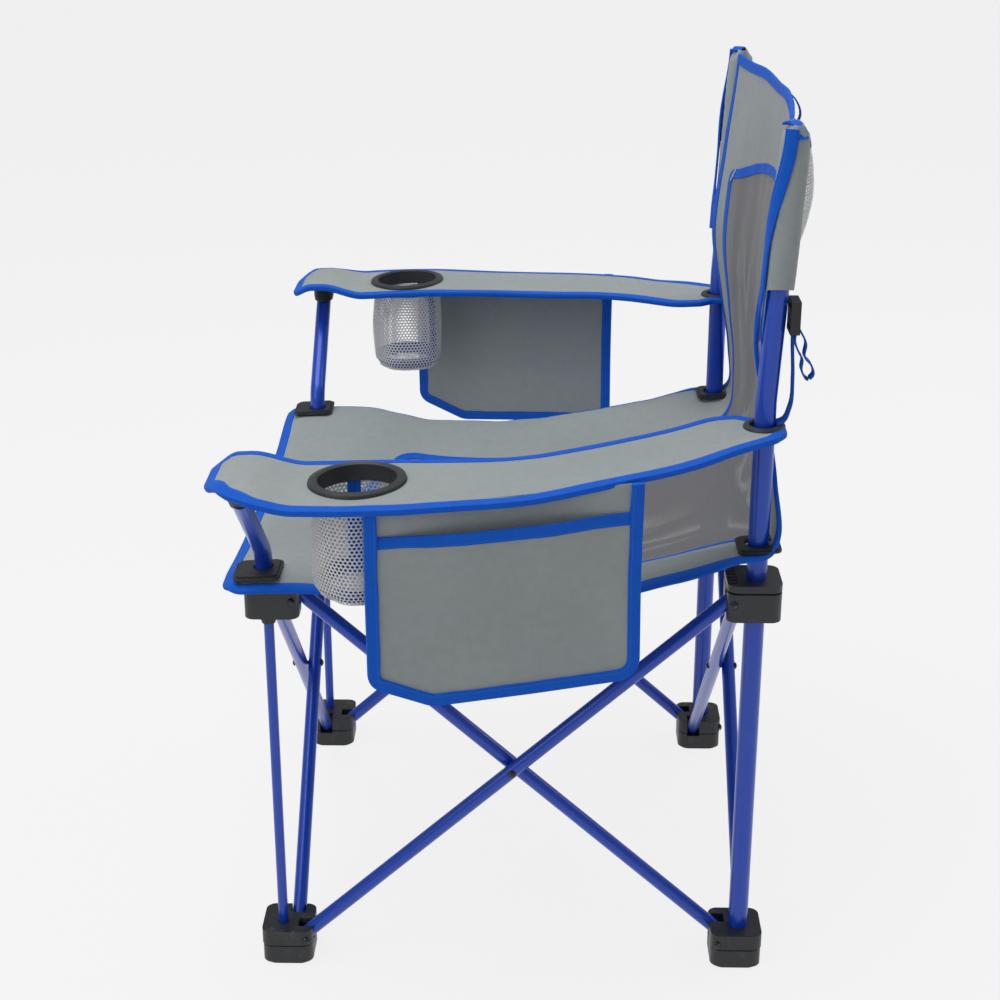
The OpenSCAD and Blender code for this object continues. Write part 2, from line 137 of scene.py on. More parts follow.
def hard_finish(name, colour, worn, roughness, wear, patch_size, grain_size, depth, **constants):
    """A painted or moulded hard surface with rubbed patches and a fine grain."""
    made, tree, shader = open_material(name, roughness, **constants)
    skin = put(tree, "Group", {"Colour": colour, "Worn Colour": worn, "Wear": wear,
                               "Patch Size": patch_size, "Grain Size": grain_size,
                               "Roughness": roughness}, node_tree=scuff).outputs
    rounded_edge = put(tree, "Bevel", {"Radius": 0.0009}, samples=4).outputs[0]
    bump = put(tree, "Bump", {"Height": skin["Height"], "Normal": rounded_edge,
                              "Distance": depth, "Strength": 0.6}).outputs[0]
    tree.links.new(skin["Colour"], shader["Base Color"])
    tree.links.new(skin["Roughness"], shader["Roughness"])
    tree.links.new(bump, shader["Normal"])
    return made


def dress(material, slot, *nodes):
    """Gives CAD nodes their finish."""
    for name in nodes:
        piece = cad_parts[name]
        if not piece.material_slots:
            piece.data.materials.append(material)
        for held in piece.material_slots:
            held.material = material


# Each hand of the sitter, with the side of the frame that it is on.
HANDS = (("left", 1), ("right", -1))
SIDES = ("rear", "right", "front", "left")
tube_paint = hard_finish(
    "tube_paint", srgb(4, 66, 186), srgb(72, 104, 180), 0.26, 0.16, 0.05, 0.0012, 0.00004,
    Metallic=0.2, Coat_Weight=0.35, Coat_Roughness=0.16)
dress(tube_paint, "frame_blue",
      *[f"cross_{side}_{lane}" for side in SIDES for lane in ("outer", "inner")],
      *[f"{piece}_{hand}" for piece in ("upright", "arm_post", "front_rod") for hand, _ in HANDS])


# ---------------------------------------------------------------- hubs, feet and pins
# Injection moulded nylon corners with a satin skin, dusty and scratched low down, and domed
# steel pins, blackened, pressed through hub and tube and left free to turn.

CORNERS = ("rear_left", "rear_right", "front_right", "front_left")
hub_plastic = hard_finish(
    "hub_plastic", srgb(40, 42, 46), srgb(92, 93, 95), 0.34, 0.25, 0.02, 0.0006, 0.00008)
foot_plastic = hard_finish(
    "foot_plastic", srgb(38, 40, 44), srgb(112, 108, 102), 0.4, 0.45, 0.016, 0.0007, 0.00012)
pin_steel = hard_finish(
    "pin_steel", srgb(58, 60, 66), srgb(150, 152, 156), 0.3, 0.4, 0.004, 0.0004, 0.00003,
    Metallic=0.85)
dress(foot_plastic, "hub_black", *[f"foot_{corner}" for corner in CORNERS])
dress(hub_plastic, "hub_black", "slider_rear_left", "slider_rear_right",
      "hub_front_left", "hub_front_right", "ferrule_left", "ferrule_right")
dress(pin_steel, "pin_dark",
      *[f"{kind}_pins_{corner}" for kind in ("foot", "hub") for corner in CORNERS],
      *[f"cross_pin_{side}" for side in SIDES])


# ---------------------------------------------------------------- rings and plates
# Softer black mouldings that clamp the cloth: ridged plates on the seat's corners, a grommet
# round each upright and a wide flanged ring for each cup.

ring_plastic = hard_finish(
    "ring_plastic", srgb(46, 48, 52), srgb(96, 97, 99), 0.42, 0.2, 0.012, 0.0005, 0.00006)
plate_plastic = hard_finish(
    "plate_plastic", srgb(34, 35, 38), srgb(82, 83, 85), 0.46, 0.22, 0.014, 0.0006, 0.0001)
dress(ring_plastic, "ring_black", *[f"{kind}_{hand}" for kind in ("cup_ring", "arm_grommet")
                                    for hand, _ in HANDS])
dress(plate_plastic, "ring_black", *[f"seat_plate_{end}_{hand}" for end in ("front", "rear")
                                     for hand, _ in HANDS])
dress(plate_plastic, "hub_black", "buckle_left", "buckle_right")


# ---------------------------------------------------------------- seat and back sling
# One long sling of grey polyester, cut in a shallow hourglass, with a dark net window let into
# it from the seat to the middle of the back. Its corners are clamped under the seat plates, its
# sides hang in sleeves on the uprights, and a folded blue tape is sewn over every edge.

def evened(points, step, closed):
    """The same outline with extra points, so that no edge is longer than step."""
    points = [np.array(p[:2], float) for p in points]
    ends = points[1:] + points[:1] if closed else points[1:]
    out = []
    for a, b in zip(points, ends):
        parts = max(1, math.ceil(np.linalg.norm(b - a) / step - 1e-6))
        out += [a + (b - a) * k / parts for k in range(parts)]
    return out if closed else out + [points[-1]]


def rounded(corners, step=0.004):
    """A closed outline through corners (u, v, r), each turned with radius r."""
    out = []
    for i, (u, v, r) in enumerate(corners):
        corner = np.array((u, v))
        back = np.array(corners[i - 1][:2]) - corner
        ahead = np.array(corners[(i + 1) % len(corners)][:2]) - corner
        back_len, ahead_len = np.linalg.norm(back), np.linalg.norm(ahead)
        back, ahead = back / back_len, ahead / ahead_len
        half = math.acos(max(-1.0, min(1.0, back @ ahead))) / 2
        if r <= 0 or half > math.pi / 2 - 0.01:
            out.append(corner)
            continue
        cut = min(r / math.tan(half), 0.48 * min(back_len, ahead_len))
        r = cut * math.tan(half)
        middle = corner + (back + ahead) / np.linalg.norm(back + ahead) * r / math.sin(half)
        first, last = corner + back * cut - middle, corner + ahead * cut - middle
        start = math.atan2(first[1], first[0])
        sweep = (math.atan2(last[1], last[0]) - start + math.pi) % (2 * math.pi) - math.pi
        parts = max(2, math.ceil(abs(sweep) * r / step))
        turns = [start + sweep * k / parts for k in range(parts + 1)]
        out += [middle + r * np.array((math.cos(a), math.sin(a))) for a in turns]
    return out


def inside(loop, points):
    """Which of the points lie inside a closed outline."""
    hits = np.zeros(len(points), bool)
    for a, b in zip(loop, np.roll(np.array(loop), -1, 0)):
        if a[1] == b[1]:
            continue
        spans = (a[1] > points[:, 1]) != (b[1] > points[:, 1])
        at = a[0] + (points[:, 1] - a[1]) / (b[1] - a[1]) * (b[0] - a[0])
        hits ^= spans & (points[:, 0] < at)
    return hits


def lifted(surface, flat):
    """Points of the flat pattern on its surface, and the surface's normals there."""
    nudge = 2e-4
    u, v = flat[:, 0], flat[:, 1]
    along = surface(u + nudge, v) - surface(u - nudge, v)
    across = surface(u, v + nudge) - surface(u, v - nudge)
    normal = np.cross(along, across)
    return surface(u, v), normal / np.linalg.norm(normal, axis=1)[:, None]


def lay_out(outline, surface, step, lines=(), holes=()):
    """Triangulates a flat pattern, in its own metres, and lifts it onto its surface."""
    loops = [evened(loop, step, True) for loop in (outline, *holes)]
    points, edges = [], []
    for loop, closed in [*[(l, True) for l in loops], *[(evened(l, step, False), False) for l in lines]]:
        first = len(points)
        points += loop
        edges += [(first + i, first + i + 1) for i in range(len(loop) - 1)]
        edges += [(len(points) - 1, first)] if closed else []
    near = kdtree.KDTree(len(points))
    for i, p in enumerate(points):
        near.insert((*p, 0), i)
    near.balance()
    low, high = np.min(loops[0], 0), np.max(loops[0], 0)
    rows = np.arange(low[1], high[1], step * 0.87)
    grid = [(u + (k % 2) * step / 2, v) for k, v in enumerate(rows)
            for u in np.arange(low[0], high[0], step)]
    grid = np.array(grid)
    grid = grid[inside(loops[0], grid)]
    points += [p for p in grid if near.find((*p, 0))[2] > step * 0.6]
    made = delaunay_2d_cdt([Vector(p) for p in points], edges, [], 0, 1e-6)
    flat = np.array([tuple(p) for p in made[0]])
    tris = np.array([f for f in made[2] if len(f) == 3])
    middle = flat[tris].mean(1)
    kept = inside(loops[0], middle)
    for hole in loops[1:]:
        kept &= ~inside(hole, middle)
    place, normal = lifted(surface, flat)
    return {"flat": flat, "tris": tris[kept], "place": place, "normal": normal}


def meshed(name, points, faces, flat, materials, patch=None):
    """A mesh object with its flat pattern as UVs, smooth but for its sharp rims."""
    mesh = bpy.data.meshes.new(name)
    mesh.from_pydata([tuple(p) for p in points], [], faces)
    layer = mesh.uv_layers.new(name="pattern")
    corner = np.empty(len(mesh.loops), int)
    mesh.loops.foreach_get("vertex_index", corner)
    layer.data.foreach_set("uv", np.array(flat, np.float32)[corner].ravel())
    for material in materials:
        mesh.materials.append(material)
    if patch is not None:
        mesh.polygons.foreach_set("material_index", np.array(patch, np.int32))
    mesh.shade_smooth()
    mesh.set_sharp_from_angle(angle=math.radians(50))
    mesh.update()
    made = bpy.data.objects.new(name, mesh)
    bpy.context.scene.collection.objects.link(made)
    return made


def sew(name, pattern, thick, materials, keep=None, patch=None):
    """One closed shell of cloth from the part of a pattern that keep(u, v) takes."""
    middle = pattern["flat"][pattern["tris"]].mean(1)
    chosen = np.ones(len(middle), bool) if keep is None else keep(middle[:, 0], middle[:, 1])
    used, tris = np.unique(pattern["tris"][chosen], return_inverse=True)
    tris = tris.reshape(-1, 3)
    place, normal, flat = (pattern[k][used] for k in ("place", "normal", "flat"))
    count = len(used)
    points = np.concatenate([place + normal * thick / 2, place - normal * thick / 2])
    faces = [tuple(t) for t in tris] + [(c + count, b + count, a + count) for a, b, c in tris]
    directed = {(t[i], t[(i + 1) % 3]) for t in map(tuple, tris) for i in range(3)}
    rim = sorted((a, b) for a, b in directed if (b, a) not in directed)
    faces += [(b, a, a + count, b + count) for a, b in rim]
    slots = None
    if patch is not None:
        top = patch(middle[chosen])
        slots = np.concatenate([top, top, np.zeros(len(rim))])
    made = meshed(name, points, faces, np.concatenate([flat, flat]), materials, slots)
    corners = flat[tris]
    sides = corners[:, 1] - corners[:, 0], corners[:, 2] - corners[:, 0]
    made["cut_area"] = float(np.abs(sides[0][:, 0] * sides[1][:, 1]
                                    - sides[0][:, 1] * sides[1][:, 0]).sum() / 2)
    made["cut_size"] = [float(x) for x in flat.max(0) - flat.min(0)]
    return made


def skinned(name, rings, flat, closed, material):
    """A closed tape or tube through equal rings of points."""
    count, around = len(rings), len(rings[0])
    pairs = [(i, (i + 1) % count) for i in range(count if closed else count - 1)]
    faces = [(i * around + k, i * around + (k + 1) % around,
              j * around + (k + 1) % around, j * around + k)
             for i, j in pairs for k in range(around)]
    if not closed:
        faces += [tuple(range(around)), tuple(range(count * around - 1, (count - 1) * around - 1, -1))]
    made = meshed(name, np.concatenate(rings), faces, flat, [material])
    shell = bmesh.new()
    shell.from_mesh(made.data)
    bmesh.ops.recalc_face_normals(shell, faces=shell.faces)
    shell.to_mesh(made.data)
    shell.free()
    return made


TAPE_SECTION = ((0.0, 0.45), (0.06, 0.9), (0.5, 1.0), (0.94, 0.95), (1.0, 0.5),
                (1.0, -0.5), (0.94, -0.95), (0.5, -1.0), (0.06, -0.9), (0.0, -0.45))


def bind(name, edge, surface, reach, thick, closed, material):
    """A folded tape over an edge: reach says how far it goes out of the cloth and into it."""
    edge = np.array(evened(edge, 0.005, closed))
    ahead = np.roll(edge, -1, 0) - np.roll(edge, 1, 0) if closed else np.gradient(edge, axis=0)
    ahead /= np.linalg.norm(ahead, axis=1)[:, None]
    inward = np.stack([-ahead[:, 1], ahead[:, 0]], 1)
    wander = np.array([noise.noise(Vector((p[0] * 40, p[1] * 40, 1.7))) for p in edge])
    columns = []
    for share, lift in TAPE_SECTION:
        into = -reach[0] + (reach[0] + reach[1] + 0.0007 * wander) * share
        place, normal = lifted(surface, edge + inward * into[:, None])
        columns.append(place + normal * lift * thick / 2)
    rings = np.stack(columns, 1)
    length = np.concatenate([[0], np.cumsum(np.linalg.norm(np.diff(rings[:, 2], axis=0), axis=1))])
    flat = [(l, share * (reach[0] + reach[1])) for l in length for share, _ in TAPE_SECTION]
    return skinned(name, list(rings), flat, closed, material)


def runs(loop, label):
    """Splits a closed outline where its label changes: (label, points, whether closed)."""
    marks = [label(*p) for p in loop]
    if len(set(marks)) == 1:
        return [(marks[0], loop, True)]
    start = next(i for i in range(len(loop)) if marks[i] != marks[i - 1])
    loop, marks = loop[start:] + loop[:start], marks[start:] + marks[:start]
    out = []
    for point, mark in zip(loop, marks):
        if not out or out[-1][0] != mark:
            if out:
                out[-1][1].append(point)
            out.append((mark, [point], False))
        else:
            out[-1][1].append(point)
    out[-1][1].append(loop[0])
    return [run for run in out if len(run[1]) > 2]


def fasten(piece, slot, body, fold=None):
    """Rides a piece on its body, and gives it a mesh of its own when a fold is given."""
    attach(piece, body)
    if fold:
        axis, anchor, keep = fold
        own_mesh(piece)
        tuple(axis)
        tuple(anchor)


weave, weave_in, weave_out = open_effect(
    "plain weave", {"Vector": (0.0, 0.0, 0.0), "Pitch": 0.001},
    {"Height": "Float", "Shade": "Float"})
thread = vector_of(weave, "DIVIDE", weave_in["Vector"],
                   put(weave, "CombineXYZ", {0: weave_in["Pitch"], 1: weave_in["Pitch"], 2: 1.0}
                       ).outputs[0])
thread_x, thread_y, _ = put(weave, "SeparateXYZ", {0: thread}).outputs
warp = math_of(weave, "ABSOLUTE", math_of(weave, "SINE", math_of(weave, "MULTIPLY", thread_x, math.pi)))
weft = math_of(weave, "ABSOLUTE", math_of(weave, "SINE", math_of(weave, "MULTIPLY", thread_y, math.pi)))
over = put(weave, "TexChecker", {"Vector": thread, "Color1": (1.0, 1.0, 1.0, 1.0),
                                 "Color2": (0.0, 0.0, 0.0, 1.0), "Scale": 1.0}).outputs["Fac"]
crown = put(weave, "Mix", {0: over, 2: warp, 3: weft}).outputs[0]
slub = put(weave, "TexNoise", {"Vector": thread, "Scale": 0.11, "Detail": 3.0}).outputs[0]
weave.links.new(crown, weave_out["Height"])
# Shade: painted light on the thread crowns and painted shade between the threads, from the crown height,
# plus the slub, a random tone of the yarn.
weave.links.new(math_of(weave, "MULTIPLY_ADD", crown, 0.5, slub), weave_out["Shade"])

net, net_in, net_out = open_effect(
    "knitted net", {"Vector": (0.0, 0.0, 0.0), "Pitch": 0.003, "Opening": 0.3},
    {"Alpha": "Float", "Height": "Float"})
cell = put(net, "CombineXYZ", {0: net_in["Pitch"], 2: 1.0,
                               1: math_of(net, "MULTIPLY", net_in["Pitch"], math.sqrt(3))}).outputs[0]
spot = vector_of(net, "DIVIDE", net_in["Vector"], cell)
reaches = []
for shift in (0.0, 0.5):
    turned = vector_of(net, "FRACTION", vector_of(net, "ADD", spot, (shift, shift, 0.0)))
    turned = vector_of(net, "MULTIPLY", vector_of(net, "SUBTRACT", turned, (0.5, 0.5, 0.0)),
                       (1.0, math.sqrt(3), 0.0))
    reaches.append(vector_of(net, "LENGTH", turned))
hole_reach = math_of(net, "MINIMUM", *reaches)
net.links.new(math_of(net, "GREATER_THAN", hole_reach, net_in["Opening"]), net_out["Alpha"])
net.links.new(hole_reach, net_out["Height"])

stitch, stitch_in, stitch_out = open_effect(
    "stitch row", {"Vector": (0.0, 0.0, 0.0), "Line": 0.009, "Pitch": 0.003}, {"Mask": "Float"})
along, off, _ = put(stitch, "SeparateXYZ", {0: stitch_in["Vector"]}).outputs
beat = math_of(stitch, "FRACT", math_of(stitch, "DIVIDE", along, stitch_in["Pitch"]))
dash = math_of(stitch, "LESS_THAN", beat, 0.72)
on_line = math_of(stitch, "LESS_THAN",
                  math_of(stitch, "ABSOLUTE", math_of(stitch, "SUBTRACT", off, stitch_in["Line"])), 0.0004)
stitch.links.new(math_of(stitch, "MULTIPLY", dash, on_line), stitch_out["Mask"])


def show_threads(tree, shader, base, height, depth, strength):
    """Feeds a cloth's colour, and the height of its threads, to its shader."""
    bump = put(tree, "Bump", {"Height": height, "Distance": depth, "Strength": strength}).outputs[0]
    tree.links.new(base, shader["Base Color"])
    tree.links.new(bump, shader["Normal"])


def cloth_finish(name, colour, dusty, pitch, depth, roughness=0.82, **constants):
    """Plain woven polyester, faded and dusty in soft patches, with painted shade between its threads and
    painted light on their crowns.
    """
    made, tree, shader = open_material(name, roughness, **constants)
    pattern = put(tree, "TexCoord").outputs
    threads = put(tree, "Group", {"Vector": pattern["UV"], "Pitch": pitch}, node_tree=weave).outputs
    soiled = put(tree, "TexNoise", {"Vector": pattern["Object"], "Scale": 9.0, "Detail": 4.0}).outputs[0]
    soiled = remap(tree, soiled, 0.42, 0.75, 0.0, 0.5)
    base = put(tree, "Mix", {0: soiled, 6: colour, 7: dusty}, data_type="RGBA").outputs[2]
    # Painted shade between the threads and painted light on their crowns, with the yarn's random slub
    # tone, set the colour's value.
    tone_with_painted_shade = remap(tree, threads["Shade"], 0.3, 1.1, 0.9, 1.07)
    base = put(tree, "HueSaturation", {"Value": tone_with_painted_shade, "Color": base}).outputs[0]
    show_threads(tree, shader, base, threads["Height"], depth, 0.7)
    return made


def net_finish(name, colour, pitch, opening):
    """Knitted net: yarn round open cells, with painted shade on the yarn towards each cell's edge."""
    made, tree, shader = open_material(name, 0.6, Sheen_Weight=0.2)
    cells = put(tree, "Group", {"Vector": put(tree, "TexCoord").outputs["UV"], "Pitch": pitch,
                                "Opening": opening}, node_tree=net).outputs
    # Painted shade: the yarn's colour darkens towards the edge of each open cell and is lightest midway
    # between cells.
    tone_with_painted_shade = remap(tree, cells["Height"], opening, 0.58, 0.78, 1.1)
    base = put(tree, "HueSaturation", {"Value": tone_with_painted_shade, "Color": colour}).outputs[0]
    tree.links.new(cells["Alpha"], shader["Alpha"])
    show_threads(tree, shader, base, cells["Height"], 0.0006, 0.8)
    return made


def tape_finish(name, colour, thread_colour, width):
    """Woven tape with cross ribs and a row of stitches near its inner edge, with painted shade between its
    threads and painted light on their crowns.
    """
    made, tree, shader = open_material(name, 0.66, Sheen_Weight=0.04, Specular_IOR_Level=0.22)
    pattern = put(tree, "TexCoord").outputs["UV"]
    row = put(tree, "Group", {"Vector": pattern, "Line": width - 0.0022}, node_tree=stitch).outputs[0]
    threads = put(tree, "Group", {"Vector": pattern, "Pitch": 0.0011}, node_tree=weave).outputs
    # Painted shade between the threads and painted light on their crowns, with the yarn's random slub
    # tone, set the colour's value.
    tone_with_painted_shade = remap(tree, threads["Shade"], 0.3, 1.1, 0.88, 1.1)
    base = put(tree, "HueSaturation", {"Value": tone_with_painted_shade, "Color": colour}).outputs[0]
    base = put(tree, "Mix", {0: row, 6: base, 7: thread_colour}, data_type="RGBA").outputs[2]
    height = math_of(tree, "MULTIPLY_ADD", row, 1.5, threads["Height"])
    show_threads(tree, shader, base, height, 0.0002, 0.7)
    return made


def follow(keys, s):
    """A smooth curve through keys (s, a, b, ...), read at each s."""
    keys = np.array(keys, float)
    at, values = keys[:, 0], keys[:, 1:]
    slope = np.gradient(values, at, axis=0)
    i = np.clip(np.searchsorted(at, s) - 1, 0, len(at) - 2)
    gap = (at[i + 1] - at[i])[:, None]
    t = (np.asarray(s)[:, None] - at[i][:, None]) / gap
    return ((1 + 2 * t) * (1 - t) ** 2 * values[i] + t * (1 - t) ** 2 * gap * slope[i]
            + t * t * (3 - 2 * t) * values[i + 1] + t * t * (t - 1) * gap * slope[i + 1])


def ease(low, high, value):
    t = np.clip((value - low) / (high - low), 0, 1)
    return t * t * (3 - 2 * t)


def ripple(u, v, u_rate, v_rate, seed):
    """Soft folds, one value for each point of a pattern."""
    return np.array([noise.noise(Vector((a * u_rate, b * v_rate, seed))) for a, b in zip(u, v)])


cloth_grey = cloth_finish("cloth_grey", srgb(154, 162, 163), srgb(166, 172, 171), 0.0012, 0.00022,
                          Sheen_Weight=0.12)
net_dark = net_finish("net_dark", srgb(118, 118, 121), 0.0026, 0.16)
tape_blue = tape_finish("tape_blue", srgb(2, 92, 208), srgb(30, 116, 224), 0.0125)

home_y = (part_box("foot_rear_left")[0].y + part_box("foot_front_left")[1].y) / 2
upright_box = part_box("upright_left")
upright_x = (upright_box[0].x + upright_box[1].x) / 2
upright_back = 0.259  # from home_y to the uprights, below their lean
post_low, post_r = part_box("arm_post_left")[0], 0.0095
post_x, post_y = post_low.x + post_r, post_low.y + post_r
sling_thick = 0.0024
sling_tape = sling_thick + 0.0022  # cloth and both layers of the tape
back_half = 0.243
# Distance along the sling from its front edge, then place behind home_y and height.
middle_line = [(0.0, -0.305, 0.464), (0.10, -0.209, 0.437), (0.25, -0.062, 0.412),
               (0.40, 0.086, 0.413), (0.50, 0.181, 0.432), (0.58, 0.249, 0.472),
               (0.66, 0.281, 0.545), (0.76, 0.2845, 0.643), (0.86, 0.284, 0.738),
               (0.96, 0.289, 0.836), (1.06, 0.294, 0.934), (1.08, 0.295, 0.953)]
side_line = [(0.0, -0.305, 0.4803), (0.05, -0.255, 0.4830), (0.10, -0.205, 0.4828),
             (0.19, -0.118, 0.4660), (0.30, -0.008, 0.4655), (0.40, 0.092, 0.4780),
             (0.48, 0.171, 0.4950), (0.54, 0.231, 0.5085), (0.58, 0.268, 0.5125),
             (0.61, 0.279, 0.5280), (0.66, 0.275, 0.5780), (0.76, 0.259, 0.6600),
             (0.84, 0.2455, 0.7300), (0.96, 0.2560, 0.8400), (1.06, 0.2670, 0.9350),
             (1.08, 0.2690, 0.9550)]
side_reach = [(0.0, 0.300), (0.2, 0.301), (0.4, 0.299), (0.54, 0.292), (0.58, 0.284),
              (0.61, 0.268), (0.66, 0.2505), (0.76, back_half), (1.0, back_half), (1.09, back_half)]
slack_half = 0.252
# The seat's sides and front edge turn down by edge_drop over these stretches.
edge_drop = 0.008
side_turn, front_turn = (0.278, 0.303), (0.024, -0.003)
# Where the sling is cut into pieces that ride on different parts of the frame.
seat_cut, back_cut, sling_top = 0.60, 0.80, 1.078
fold_x = 0.222


def sling(x, s):
    """The sling's surface: x across the chair, s along the cloth from its front edge."""
    middle, side = follow(middle_line, s), follow(side_line, s)
    slack = np.clip(1 - (np.abs(x) / slack_half) ** 2, 0, 1) ** 1.15
    place = side + (middle - side) * slack[:, None]
    upright = ease(0.55, 0.68, s)
    loose = np.clip(slack * 2.2, 0, 1)
    seat_folds = 0.0030 * ripple(x, s, 7, 9, 3.1) + 0.0006 * ripple(x, s, 26, 14, 8.2)
    back_folds = 0.0034 * ripple(x, s, 30, 4, 5.5) + 0.0040 * ripple(x, s, 9, 5, 2.2)
    hem_folds = 0.0022 * ripple(np.sign(x) * 0.1, s, 9, 26, 6.4) * ease(0.235, 0.30, np.abs(x))
    hem_folds *= ease(0.09, 0.14, s) * (1 - ease(0.48, 0.53, s))
    back_folds *= 1 - 0.85 * ease(0.97, 1.05, s)
    folds = (seat_folds * (1 - upright) + back_folds * upright) * loose + hem_folds
    turned_down = np.maximum(ease(*side_turn, np.abs(x)), ease(*front_turn, s))
    turned_down *= 1 - ease(0.5, 0.56, s)
    y = home_y + place[:, 0] + folds * upright
    return np.stack([x, y, place[:, 1] + folds * (1 - upright) - edge_drop * turned_down], 1)


side_steps = np.linspace(0.05, 1.0, 40)
right_edge = [(w, s, 0) for s, w in zip(side_steps, follow(side_reach, side_steps)[:, 0])]
top_edge = [(x, sling_top + 0.0015 * math.sin(x * 41), 0)
            for x in np.linspace(0.2, -0.2, 21)]
sling_outline = rounded(
    [(-0.300, 0.0, 0.05), (0.300, 0.0, 0.05), *right_edge, (back_half, sling_top, 0.006), *top_edge,
     (-back_half, sling_top, 0.006), *[(-x, s, r) for x, s, r in reversed(right_edge)]])
window_front = [(x, 0.112 + 0.05 * (x / 0.18) ** 2, 0) for x in np.linspace(-0.155, 0.155, 14)]
window_top = [(x, 0.978 - 0.05 * (x / 0.2) ** 2, 0) for x in np.linspace(0.165, -0.165, 14)]
window_outline = rounded(
    [*window_front, (0.188, 0.168, 0.03), (0.184, 0.40, 0.2), (0.192, 0.60, 0.2), (0.196, 0.80, 0.2),
     (0.200, 0.935, 0.016), *window_top, (-0.200, 0.935, 0.016), (-0.196, 0.80, 0.2),
     (-0.192, 0.60, 0.2), (-0.184, 0.40, 0.2), (-0.188, 0.168, 0.03)])


def ring_of(u, v, r, parts=28):
    """A round hole in a pattern."""
    turns = [2 * math.pi * k / parts for k in range(parts)]
    return [(u + r * math.cos(a), v + r * math.sin(a)) for a in turns]


def along_seat(y):
    """Distance along the sling to the place y behind home_y, at the seat's side."""
    return float(np.interp(y, [k[1] for k in side_line[:9]], [k[0] for k in side_line[:9]]))


post_hole_r, upright_hole_r = 0.0110, 0.0135
tube_holes = []
for _, sign in HANDS:
    tube_holes.append(ring_of(sign * post_x, along_seat(post_y - home_y), post_hole_r))
    tube_holes.append(ring_of(sign * upright_x, along_seat(upright_back), upright_hole_r))
sling_pattern = lay_out(
    sling_outline, sling, 0.0085, holes=tube_holes,
    lines=[[*window_outline, window_outline[0]], [(0, 0), (0, seat_cut)],
           [(fold_x, 0), (fold_x, seat_cut)], [(-fold_x, 0), (-fold_x, seat_cut)],
           [(-0.28, seat_cut), (0.28, seat_cut)], [(-back_half, back_cut), (back_half, back_cut)]])

# Each fold: the axis it flattens along, the place it flattens to, and the share left at full fold.
across_fold = ((1, 0, 0), (upright_x, 0, 0), 0.2625)
seat_fold = ((0, 1, 0), (0, home_y + 0.225, 0), 0.142)
edge_fold = ((0, 1, 0), (0, home_y + 0.256, 0), 0.25)
# The body that each part rides on, its fold, and its share of the pattern.
sling_parts = {
    "seat_cloth_left": ("left_seat", seat_fold, lambda x, s: (s < seat_cut) & (x > 0) & (x < fold_x)),
    "seat_cloth_right": ("right_seat", seat_fold, lambda x, s: (s < seat_cut) & (x <= 0) & (x > -fold_x)),
    "seat_edge_left": ("rear_left_slider", edge_fold, lambda x, s: (s < seat_cut) & (x >= fold_x)),
    "seat_edge_right": ("rear_right_slider", edge_fold, lambda x, s: (s < seat_cut) & (x <= -fold_x)),
    "back_cloth_low": ("rear_left_slider", across_fold, lambda x, s: (s >= seat_cut) & (s < back_cut)),
    "back_cloth": ("root", across_fold, lambda x, s: s >= back_cut),
}


def sling_part(x, s):
    return next(name for name, part in sling_parts.items() if part[2](x, s))


sling_cloths = {}
for name, (body, fold, keep) in sling_parts.items():
    sling_cloths[name] = sew(name, sling_pattern, sling_thick, [cloth_grey, net_dark], keep,
                             lambda middle: inside(window_outline, middle))
sling_tapes = {name: [] for name in sling_parts}
tape_reaches = (("hem", sling_outline, (0.0015, 0.011)), ("window_tape", window_outline, (0.006, 0.0065)))
for kind, loop, reach in tape_reaches:
    stretches = runs([tuple(p) for p in evened(loop, 0.005, True)], sling_part)
    for k, (name, points, closed) in enumerate(stretches):
        tape = bind(f"{kind}_{name}_{k}", points, sling, reach, sling_tape, closed, tape_blue)
        body, fold, _ = sling_parts[name]
        fasten(tape, "binding_blue", body, fold)
        sling_tapes[name].append(tape)
for name, (body, fold, _) in sling_parts.items():
    fasten(sling_cloths[name], "fabric_grey", body, fold)
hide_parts("seat_left")
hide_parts("seat_right")
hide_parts("back_panel")


# ---------------------------------------------------------------- back sleeves
# A flat sleeve of the same cloth on each upright, sewn shut over the tube's end and caught to
# the back's side with a tape that runs down the front of the upright.

lean = math.radians(3)
lean_from = 0.676
sleeve_low, sleeve_high = 0.786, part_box("back_panel")[1].z - 0.001
sleeve_rx, sleeve_ry = 0.0185, 0.0142
sleeve_round = 2 * (sleeve_rx + sleeve_ry) * 1.62  # the girth of that blunt oval
tape_out = 0.0162


def upright_y(z):
    """The place of the uprights' middle line at height z."""
    return home_y + upright_back + np.maximum(0, z - lean_from) * math.tan(lean)


def sleeve_surface(sign):
    """Round the tube from the front seam; v runs up from the sleeve's mouth."""
    def surface(u, v):
        turn = 2 * math.pi * u / sleeve_round - math.pi / 2
        z = sleeve_low + v
        shut = ease(0.915, 0.948, z) * 0.10 + ease(0.945, sleeve_high, z) * 0.55
        puff = 1 + 0.05 * ripple(np.cos(turn), np.sin(turn) * 3 + z * 22, 1.3, 1.0, sign * 4.0 + 9)
        cos, sin = np.cos(turn), np.sin(turn)
        x = upright_x - 0.002 + sleeve_rx * np.sign(cos) * np.abs(cos) ** 0.75 * puff
        y = upright_y(z) + 0.001 + sleeve_ry * (1 - shut) * np.sign(sin) * np.abs(sin) ** 0.8 * puff
        mouth = 0.010 * (1 - ease(0.0, 0.03, v)) * (cos * 0.5 + 0.5)
        return np.stack([sign * x, y, z + mouth], 1)
    return surface


